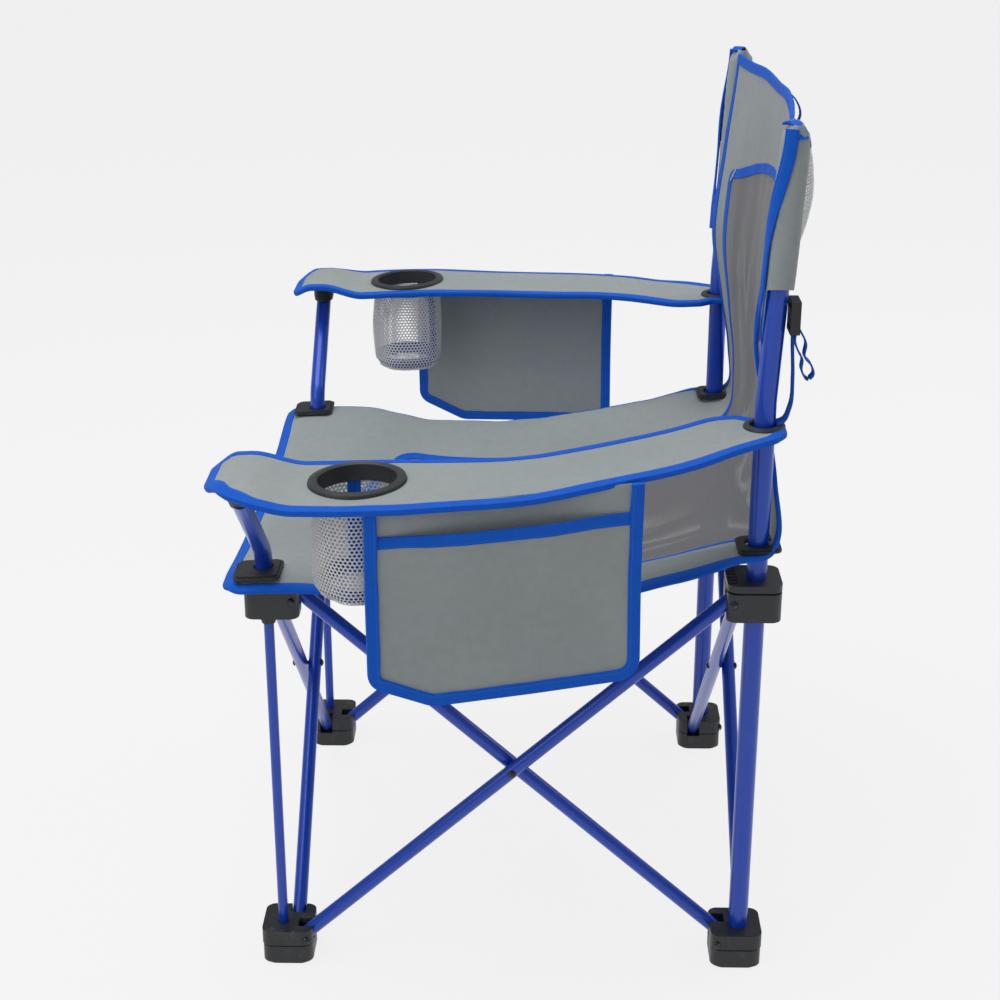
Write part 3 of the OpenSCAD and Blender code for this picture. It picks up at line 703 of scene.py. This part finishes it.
def ribbon(name, path, facing, width, thick, material, step=0.004):
    """A flat web along a smooth path, its face turned towards facing, one for each point or for all."""
    keys = np.array(path, float)
    facing = np.broadcast_to(np.array(facing, float), keys.shape)
    at = np.concatenate([[0], np.cumsum(np.linalg.norm(np.diff(keys, axis=0), axis=1))])
    s = np.linspace(0, at[-1], max(6, int(at[-1] / step)))
    line = follow(np.column_stack([at, keys]), s)
    facing = follow(np.column_stack([at, facing]), s)
    ahead = np.gradient(line, axis=0)
    ahead /= np.linalg.norm(ahead, axis=1)[:, None]
    across = np.cross(ahead, facing)
    across /= np.linalg.norm(across, axis=1)[:, None]
    normal = np.cross(across, ahead)
    rings = np.stack([line + across * (share - 0.5) * width + normal * lift * thick / 2
                      for share, lift in TAPE_SECTION], 1)
    flat = [(l, share * width) for l in s for share, _ in TAPE_SECTION]
    return skinned(name, list(rings), flat, False, material)


sleeve_bodies = {"left": "root", "right": "rear_right_post"}
for hand, sign in HANDS:
    surface = sleeve_surface(sign)
    height = sleeve_high - sleeve_low
    pattern = lay_out([(0, 0), (sleeve_round, 0), (sleeve_round, height), (0, height)],
                      surface, 0.006)
    sleeve = sew(f"back_sleeve_{hand}", pattern, 0.0016, [cloth_grey])
    shrink = ((0, 0, 1), (0, 0, sleeve_high), 0.55)
    heights = np.linspace(sleeve_high - 0.003, 0.735, 18)
    turns = np.radians(-28 + 34 * ease(0.735, 0.80, heights) + 66 * ease(0.82, 0.945, heights))
    facing = np.stack([sign * np.sin(turns), -np.cos(turns), 0 * turns], 1)
    front = np.stack([sign * upright_x + 0 * turns, upright_y(heights), heights], 1)
    front += facing * (tape_out + 0.002 * np.sin(turns) ** 2)[:, None]
    seam = ribbon(f"sleeve_tape_{hand}", front, facing, 0.0135, 0.0030, tape_blue)
    fasten(seam, "binding_blue", sleeve_bodies[hand], shrink)
    ear_path = [(0.249, -0.007, -0.002), (0.256, -0.004, 0.001), (0.270, 0.003, -0.003),
                (0.275, 0.006, -0.013)]
    ear = ribbon(f"sleeve_ear_{hand}",
                 [(sign * x, upright_y(0.95) + back, sleeve_high + rise) for x, back, rise in ear_path],
                 (0, 0, 1), 0.012, 0.0028, tape_blue)
    fasten(ear, "binding_blue", sleeve_bodies[hand], shrink)
    fasten(sleeve, "fabric_grey", sleeve_bodies[hand], shrink)


# ---------------------------------------------------------------- bar tacks
# Short bars of thick white thread, sewn two to a corner over the turns of the window tape. They
# lock it to the sling, and are pulled down flat on the cloth.

tack_thread = cloth_finish("tack_thread", srgb(206, 214, 226), srgb(196, 204, 218), 0.0006, 0.0003, 0.7)
tack_places = {"seat_cloth": (0.160, 0.150, 0.9), "back_cloth": (0.188, 0.936, 2.4)}
for hand, sign in HANDS:
    for end, (x, s, slant) in tack_places.items():
        for k in (-1, 1):
            side = np.array([sign * (x + k * 0.003), s - k * 0.004])
            reach = np.array([sign * math.cos(slant), math.sin(slant)]) * 0.007
            flat = np.array([side + reach * t for t in np.linspace(-1, 1, 5)])
            place, normal = lifted(sling, flat)
            place += normal * (sling_thick / 2 + 0.0014)
            tack = ribbon(f"bar_tack_{end}_{hand}_{k + 1}", place, normal, 0.0019, 0.0009, tack_thread)
            body, fold, _ = sling_parts[f"seat_cloth_{hand}" if end == "seat_cloth" else "back_cloth"]
            fasten(tack, "mesh_white", body, fold)


# ---------------------------------------------------------------- back pocket
# A slack pocket of white net sewn to the rear of the back, with a taped mouth, and a small
# hanging loop of the same tape above it.

net_white = net_finish("net_white", srgb(232, 233, 234), 0.0044, 0.36)
pocket_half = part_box("back_pocket")[1].x
pocket_low, pocket_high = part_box("back_pocket")[0].z + 0.012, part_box("back_pocket")[1].z
# A place on the sling and its height, and the cloth taken up by each metre of height.
level_s, _, level_z = middle_line[8]
cloth_per_height = 1.02
pocket_slack = 0.037


def back_pocket_surface(x, h):
    s = level_s + (pocket_low + h - level_z) * cloth_per_height
    base = sling(x, s)
    share = np.clip(h / (pocket_high - pocket_low), 0, 1)
    belly = np.clip(1 - (np.abs(x) / pocket_half) ** 3, 0, 1) * (0.30 + 0.70 * np.sin(share * 2.6))
    slack = pocket_slack * belly * ease(0, 0.25, share) + 0.0030 * ripple(x, h, 24, 12, 7.0) * belly
    base[:, 1] += 0.004 + slack
    base[:, 2] -= 0.006 * belly * share
    return base


pocket_outline = rounded([(-pocket_half, 0, 0.02), (pocket_half, 0, 0.02),
                          (pocket_half, pocket_high - pocket_low, 0.003),
                          (-pocket_half, pocket_high - pocket_low, 0.003)])
back_pocket = sew("back_pocket_net", lay_out(pocket_outline, back_pocket_surface, 0.007), 0.0012,
                  [net_white])
pocket_tape = bind("back_pocket_tape", pocket_outline, back_pocket_surface, (0.001, 0.008), 0.003,
                   True, tape_blue)
top_y = float(sling(np.array([0.0]), np.array([1.05]))[0, 1])
hang_loop = ribbon("hang_loop", [(0, top_y + 0.003, 0.948), (0, top_y + 0.014, 0.938),
                                 (0, top_y + 0.020, 0.922), (0, top_y + 0.014, 0.908),
                                 (0, top_y + 0.004, 0.900)], (0, 1, 0.2), 0.010, 0.0018, tape_blue)
for piece, slot in ((pocket_tape, "binding_blue"), (hang_loop, "binding_blue"),
                    (back_pocket, "mesh_white")):
    fasten(piece, slot, "root", across_fold)
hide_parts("back_pocket")


# ---------------------------------------------------------------- armrests
# Two layers of the grey cloth with a stiff felt between, bound all round. The front end is sewn
# over the arm post, the cup ring and the upright's grommet are clamped through them.

ring_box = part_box("cup_ring_left")
ring_x = (ring_box[0].x + ring_box[1].x) / 2
ring_y = (ring_box[0].y + ring_box[1].y) / 2 - home_y
arm_front_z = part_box("arm_front_left")[0].z + 0.0041
arm_slope = 0.0390625  # rise towards the back
arm_thick = 0.0048
tip_rise = 0.013
ring_hole_r, grommet_hole_r = 0.0432, 0.0178
arm_outline = rounded([
    (0.320, -0.280, 0.014), (0.334, -0.298, 0.016), (0.394, -0.297, 0.03), (0.428, -0.276, 0.03),
    (0.443, -0.246, 0.04), (0.454, -0.160, 0.2), (0.452, -0.110, 0.2), (0.434, 0.0, 0.4),
    (0.392, 0.124, 0.4), (0.340, 0.205, 0.3), (0.298, 0.266, 0.03), (0.280, 0.2785, 0.012),
    (0.243, 0.2785, 0.010), (0.2345, 0.268, 0.01), (0.2345, 0.250, 0.01), (0.2235, 0.234, 0.012),
    (0.2245, 0.205, 0.05), (0.280, 0.124, 0.3), (0.318, 0.0, 0.3), (0.322, -0.110, 0.3),
    (0.321, -0.200, 0.1)])
inner_line = [(-0.30, 0.320), (-0.2, 0.321), (-0.11, 0.322), (0.0, 0.318), (0.124, 0.280),
              (0.205, 0.226), (0.29, 0.224)]
outer_line = [(-0.30, 0.436), (-0.25, 0.444), (-0.16, 0.454), (-0.11, 0.452), (0.0, 0.434),
              (0.124, 0.392), (0.205, 0.340), (0.29, 0.280)]
# Where the armrest is cut into the pieces that ride on its post, its two leaves and its grommet.
arm_cuts = (-0.25, -0.006, 0.235)
arm_ends = (-math.inf, *arm_cuts, math.inf)


def arm_surface(sign):
    def surface(x, y):
        inner, outer = follow(inner_line, y)[:, 0], follow(outer_line, y)[:, 0]
        share = (x - (inner + outer) / 2) / (outer - inner) * 2
        z = arm_front_z + (y + 0.256) * arm_slope
        middle = 1 - ease(0.18, 0.235, y)
        z = z - 0.0075 * np.clip(share - 0.45, 0, 1.2) ** 1.5 * middle
        z = z - 0.0030 * np.clip(-share - 0.6, 0, 1.2) * middle
        z = z + tip_rise * ease(-0.205, -0.262, y) - 0.013 * ease(-0.274, -0.304, y)
        z = z - 0.006 * ease(0.55, 1.0, share) * ease(-0.2, -0.27, y)
        near_ring = np.hypot(x - ring_x, y - ring_y)
        loose = ease(0.050, 0.085, near_ring) * (1 - ease(0.15, 0.22, y))
        z = z + (0.0020 * ripple(x, y, 16, 8, sign * 2.0) - 0.004 * np.exp(-(y / 0.11) ** 2)) * loose
        return np.stack([sign * x, home_y + y, z], 1)
    return surface


def arm_piece(x, y):
    return ("tip", "front", "rear", "tab")[sum(y > cut for cut in arm_cuts)]


for hand, sign in HANDS:
    bodies = {"tip": f"front_{hand}_hub", "front": f"{hand}_arm_front", "rear": f"{hand}_arm_rear",
              "tab": f"{hand}_arm_slide"}
    surface = arm_surface(sign)
    pattern = lay_out(arm_outline, surface, 0.007,
                      lines=[[(0.2, y), (0.47, y)] for y in arm_cuts],
                      holes=[ring_of(ring_x, ring_y, ring_hole_r, 40),
                             ring_of(upright_x, upright_back, grommet_hole_r)])
    tapes = {part: [] for part in bodies}
    stretches = runs([tuple(p) for p in evened(arm_outline, 0.005, True)], arm_piece)
    for k, (part, points, closed) in enumerate(stretches):
        tape = bind(f"armrest_hem_{part}_{hand}_{k}", points, surface, (0.0015, 0.0105),
                    arm_thick + 0.0020, closed, tape_blue)
        fasten(tape, "binding_blue", bodies[part])
        tapes[part].append(tape)
    for k, part in enumerate(bodies):
        low, high = arm_ends[k:k + 2]
        made = sew(f"armrest_{part}_{hand}", pattern, arm_thick, [cloth_grey],
                   lambda x, y: (y > low) & (y <= high))
        fasten(made, "fabric_grey", bodies[part])
        if part in ("front", "rear"):
            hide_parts(f"arm_{part}_{hand}")


# ---------------------------------------------------------------- arm post caps
# A moulded cap pushed over the top of each arm post, oval because the post meets it on a slant.
# The armrest's front end is stretched over its crown.

post_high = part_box("arm_post_left")[1]
cap_rx, cap_ry = 0.0185, 0.0140
# Height about the post's end, and share of the full oval.
cap_rings = [(-0.017, 0.45), (-0.016, 0.86), (-0.011, 0.94), (-0.002, 1.0), (0.005, 1.0), (0.0105, 0.9),
             (0.0128, 0.6), (0.0132, 0.1)]
for hand, sign in HANDS:
    turns = np.linspace(0, 2 * math.pi, 40, endpoint=False)
    rings, flat = [], []
    for rise, share in cap_rings:
        x = post_high.x - post_r + rise * 0.6 * (rise < 0) + cap_rx * share * np.cos(turns)
        y = post_high.y - post_r + cap_ry * share * np.sin(turns)
        rings.append(np.stack([sign * x, y, post_high.z + rise + 0 * x], 1))
        flat += [(t * 0.016, rise) for t in turns]
    cap = skinned(f"post_cap_{hand}", rings, flat, False, plate_plastic)
    fasten(cap, "ring_black", f"front_{hand}_hub")


# ---------------------------------------------------------------- cup bags
# A bag of white net hangs from each cup ring: a wall closed by an upright blue tape, and a
# round floor joined to it by a tape seam that shows through the net.

tape_seam = tape_finish("tape_seam", srgb(58, 84, 160), srgb(96, 118, 178), 0.016)
bag_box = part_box("cup_bag_left")
bag_top, bag_floor = ring_box[0].z + 0.0085, bag_box[0].z + 0.003
bag_depth = bag_top - bag_floor
bag_r = 0.0435
bag_round = 2 * math.pi * bag_r
# Each bag's closing rib stands at its own place round the ring.
rib_turn = {1: math.pi + 0.1, -1: math.pi - 1.0}


def bag_surface(sign, shrink=0.0):
    def surface(u, v):
        turn = u / bag_r + rib_turn[sign]
        share = np.clip(v / bag_depth, 0, 1)
        r = bag_r + 0.0022 * np.sin(share * math.pi) - 0.0055 * ease(0.9, 1.0, share) - shrink
        r = r + (0.0022 * ripple(np.cos(turn) * 1.7, np.sin(turn) * 1.7 + share * 2.2, 1, 1, sign + 3.3)
                 + 0.0012 * np.cos(5 * turn + 1)) * ease(0.05, 0.5, share)
        return np.stack([sign * (ring_x + r * np.cos(turn)), home_y + ring_y + r * np.sin(turn),
                         bag_top - v], 1)
    return surface


def bag_floor_surface(sign):
    def surface(u, v):
        dip = 0.003 * ripple(u, v, 30, 30, sign * 5.0)
        return np.stack([sign * (ring_x + u), home_y + ring_y + v, bag_floor + 0.0015 + dip], 1)
    return surface


for hand, sign in HANDS:
    wall_surface = bag_surface(sign)
    wall = sew(f"cup_net_{hand}",
               lay_out([(0, 0), (bag_round, 0), (bag_round, bag_depth), (0, bag_depth)],
                       wall_surface, 0.006), 0.0011, [net_white])
    floor_net = sew(f"cup_floor_{hand}", lay_out(ring_of(0, 0, bag_r - 0.0035, 48),
                                                 bag_floor_surface(sign), 0.006), 0.0011, [net_white])
    inner = bag_surface(sign, 0.0012)
    seam = bind(f"cup_seam_{hand}", [(u, bag_depth - 0.017) for u in np.linspace(0, bag_round, 60)],
                inner, (0, 0.015), 0.0012, False, tape_seam)
    rib = bind(f"cup_rib_{hand}", [(0.003, v) for v in np.linspace(0.002, bag_depth - 0.002, 30)],
               inner, (0.007, 0.007), 0.0012, False, tape_blue)
    bag_fold = ((0, 0, 1), (0, 0, bag_top + 0.004), 0.15)
    for piece, slot in ((seam, "binding_blue"), (rib, "binding_blue"), (wall, "mesh_white"),
                        (floor_net, "mesh_white")):
        fasten(piece, slot, f"{hand}_arm_front", bag_fold)
    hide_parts(f"cup_bag_{hand}")


# ---------------------------------------------------------------- side pockets
# A flat sheet hangs from the armrest's outer edge with a slack pouch sewn on its outer face.
# Blue tape binds both together down the sides and under the bottom, and hems the pouch's mouth.

pocket_turn = math.radians(11)
side_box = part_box("side_pocket_left")
side_mid = ((side_box[0].x + side_box[1].x) / 2 - 0.0088, -0.006)
side_len, side_high = 0.270, side_box[1].z - side_box[0].z
mouth_drop = 0.030
slant_end = 0.062  # the bottom's front corner is cut off on a slant as far as this


def side_surface(sign, slack):
    """u runs from the front end back, v up from the bottom, slack is how far the cloth stands out."""
    def surface(u, v):
        l = u - side_len / 2
        stand = slack(u, v)
        x = side_mid[0] - l * math.sin(pocket_turn) + stand * math.cos(pocket_turn)
        y = side_mid[1] + l * math.cos(pocket_turn) + stand * math.sin(pocket_turn)
        lift = ease(0.1, 1.0, v / side_high) * np.clip(y + 0.14, 0, 1) * arm_slope
        return np.stack([sign * x, home_y + y, side_box[0].z + v + lift], 1)
    return surface


def sheet_stand(u, v):
    return 0.001 - 0.004 * np.sin(np.clip(v / side_high, 0, 1) * math.pi) ** 2 \
        + 0.0016 * ripple(u, v, 9, 7, 4.4) * ease(0, 0.03, side_high - v)


def pouch_stand(u, v):
    full = ease(0.010, 0.10, u) * ease(0.010, 0.10, side_len - u) * ease(0.006, 0.11, v)
    return sheet_stand(u, v) + 0.0018 + (0.0105 + 0.0025 * ripple(u, v, 12, 10, 9.1)) * full


for hand, sign in HANDS:
    sheet_at, pouch_at = side_surface(sign, sheet_stand), side_surface(sign, pouch_stand)
    sheet_outline = rounded([(0, 0.006, 0.018), (slant_end, -0.020, 0.03), (side_len, -0.008, 0.022),
                             (side_len, side_high, 0.002), (0, side_high, 0.002)])
    mouth = side_high - mouth_drop
    pouch_outline = rounded([(0.002, 0.008, 0.017), (slant_end, -0.018, 0.03),
                             (side_len - 0.002, -0.006, 0.021), (side_len - 0.002, mouth, 0.002),
                             (0.002, mouth, 0.002)])
    side_sheet = sew(f"side_sheet_{hand}", lay_out(sheet_outline, sheet_at, 0.008), 0.0014,
                     [cloth_grey])
    pouch = sew(f"side_pouch_{hand}", lay_out(pouch_outline, pouch_at, 0.008), 0.0014, [cloth_grey])
    u_edge = [(0.0, side_high), *[tuple(p) for p in sheet_outline if p[1] < side_high * 0.8],
              (side_len, side_high)]
    hem_at = side_surface(sign, lambda u, v: sheet_stand(u, v) + 0.0018)
    hem = bind(f"side_hem_{hand}", u_edge, hem_at, (0.0015, 0.0115), 0.0072, False, tape_blue)
    mouth_hem = bind(f"side_mouth_{hand}", [(side_len - 0.003, mouth), (0.003, mouth)], pouch_at,
                     (0.001, 0.0115), 0.0030, False, tape_blue)
    side_fold = ((0, 1, 0), (0, home_y - 0.215, 0), 0.1)
    for piece, slot in ((hem, "binding_blue"), (mouth_hem, "binding_blue"),
                        (side_sheet, "fabric_grey"), (pouch, "fabric_grey")):
        fasten(piece, slot, f"front_{hand}_hub", side_fold)
    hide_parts(f"side_pocket_{hand}")


# ---------------------------------------------------------------- back straps
# Flat blue webbing from each armrest's rear corner up to a ladder buckle under the sleeve, with
# its free end sewn into two finger loops.

strap_tape = tape_finish("strap_tape", srgb(4, 86, 190), srgb(22, 104, 206), 0.02)
for hand, sign in HANDS:
    low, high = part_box("strap_left")
    x = sign * (low.x + high.x) / 2
    y = (low.y + high.y) / 2
    strap = ribbon(f"strap_web_{hand}",
                   [(x, y - 0.001, high.z + 0.012), (x, y, high.z - 0.015), (x, y + 0.002, 0.700),
                    (x, y + 0.0005, 0.668), (x, y - 0.006, 0.6535), (x, y - 0.012, 0.6515)],
                   (0, 1, 0.1), 0.019, 0.0018, strap_tape)
    out = sign * 0.004
    loop_a = [(x + out, y + 0.004, 0.757), (x + out, y + 0.001, 0.742), (x + out, y + 0.006, 0.728),
              (x + out, y + 0.0095, 0.722), (x + out, y + 0.0095, 0.710), (x + out, y + 0.0165, 0.700),
              (x + out, y + 0.0215, 0.7045), (x + out, y + 0.0185, 0.716), (x + out, y + 0.012, 0.7235),
              (x + out, y + 0.0125, 0.738), (x + out, y + 0.006, 0.751)]
    tail = ribbon(f"strap_loops_{hand}", loop_a, (0, 1, 0.31), 0.014, 0.0020, strap_tape, 0.002)
    for piece in (strap, tail):
        fasten(piece, "binding_blue", f"{hand}_arm_slide")
    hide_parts(f"strap_{hand}")


# ---------------------------------------------------------------- studio
# A plain pale floor that runs out of sight, one large soft lamp over the chair's front left and
# a weaker one on the other side, in even white surroundings.

floor_mesh = bpy.data.meshes.new("studio_floor")
reach = 40.0
floor_mesh.from_pydata([(-reach, -reach, 0), (reach, -reach, 0), (reach, reach, 0), (-reach, reach, 0)],
                       [], [(0, 1, 2, 3)])
floor = bpy.data.objects.new("studio_floor", floor_mesh)
bpy.context.scene.collection.objects.link(floor)
pale = (0.945, 0.945, 0.945, 1.0)
floor_paint = bpy.data.materials.new("studio_floor")
floor_paint.use_nodes = True
tree = floor_paint.node_tree
tree.nodes.clear()
ray = put(tree, "LightPath").outputs
seen = math_of(tree, "MAXIMUM", ray["Is Camera Ray"],
               math_of(tree, "MAXIMUM", ray["Is Glossy Ray"], ray["Is Transmission Ray"]))
matt = put(tree, "BsdfDiffuse", {"Color": (0.8, 0.8, 0.8, 1.0)}).outputs[0]
glow = put(tree, "Emission", {"Color": pale, "Strength": 1.0}).outputs[0]
shaded = put(tree, "MixShader", {0: 0.88, 1: matt, 2: glow}).outputs[0]
tree.links.new(put(tree, "MixShader", {0: seen, 1: matt, 2: shaded}).outputs[0],
               put(tree, "OutputMaterial").inputs["Surface"])
floor_mesh.materials.append(floor_paint)

# How strongly the surroundings light the chair, and how bright the camera sees them.
sky_light, sky_shown = 0.37, 0.885
scene = bpy.context.scene
scene.view_settings.view_transform = "Standard"
world = bpy.data.worlds.new("studio")
scene.world = world
world.use_nodes = True
sky = world.node_tree.nodes["Background"]
ray = put(world.node_tree, "LightPath").outputs
world.node_tree.links.new(
    remap(world.node_tree, ray["Is Camera Ray"], 0.0, 1.0, sky_light, sky_shown),
    sky.inputs["Strength"])
sky.inputs["Color"].default_value = (1.0, 1.0, 1.0, 1.0)


def lamp(name, place, aim, size, watts):
    made = bpy.data.objects.new(name, bpy.data.lights.new(name, "AREA"))
    made.data.size = size
    made.data.energy = watts
    made.location = place
    made.rotation_euler = (Vector(aim) - Vector(place)).to_track_quat("-Z", "Y").to_euler()
    scene.collection.objects.link(made)


lamp("lamp_over", (0.3, -0.7, 3.3), (0, 0, 0.5), 2.4, 50)
lamp("lamp_front", (2.2, -2.2, 2.2), (0, 0, 0.5), 2.0, 16)
lamp("lamp_rear", (-1.2, 2.6, 2.4), (0, 0, 0.6), 1.8, 20)

# The camera stands at the chair's left, at about eye height of someone sitting.
pitch, yaw = math.radians(21.43), math.radians(0.99)
camera = bpy.data.objects.new("camera", bpy.data.cameras.new("camera"))
camera.data.lens = 67.0
camera.data.sensor_width = 36.0
camera.location = (2.073, 0.005, 1.276)
look = Vector((-math.cos(pitch) * math.cos(yaw), -math.cos(pitch) * math.sin(yaw), -math.sin(pitch)))
camera.rotation_euler = look.to_track_quat("-Z", "Y").to_euler()
scene.collection.objects.link(camera)
scene.camera = camera
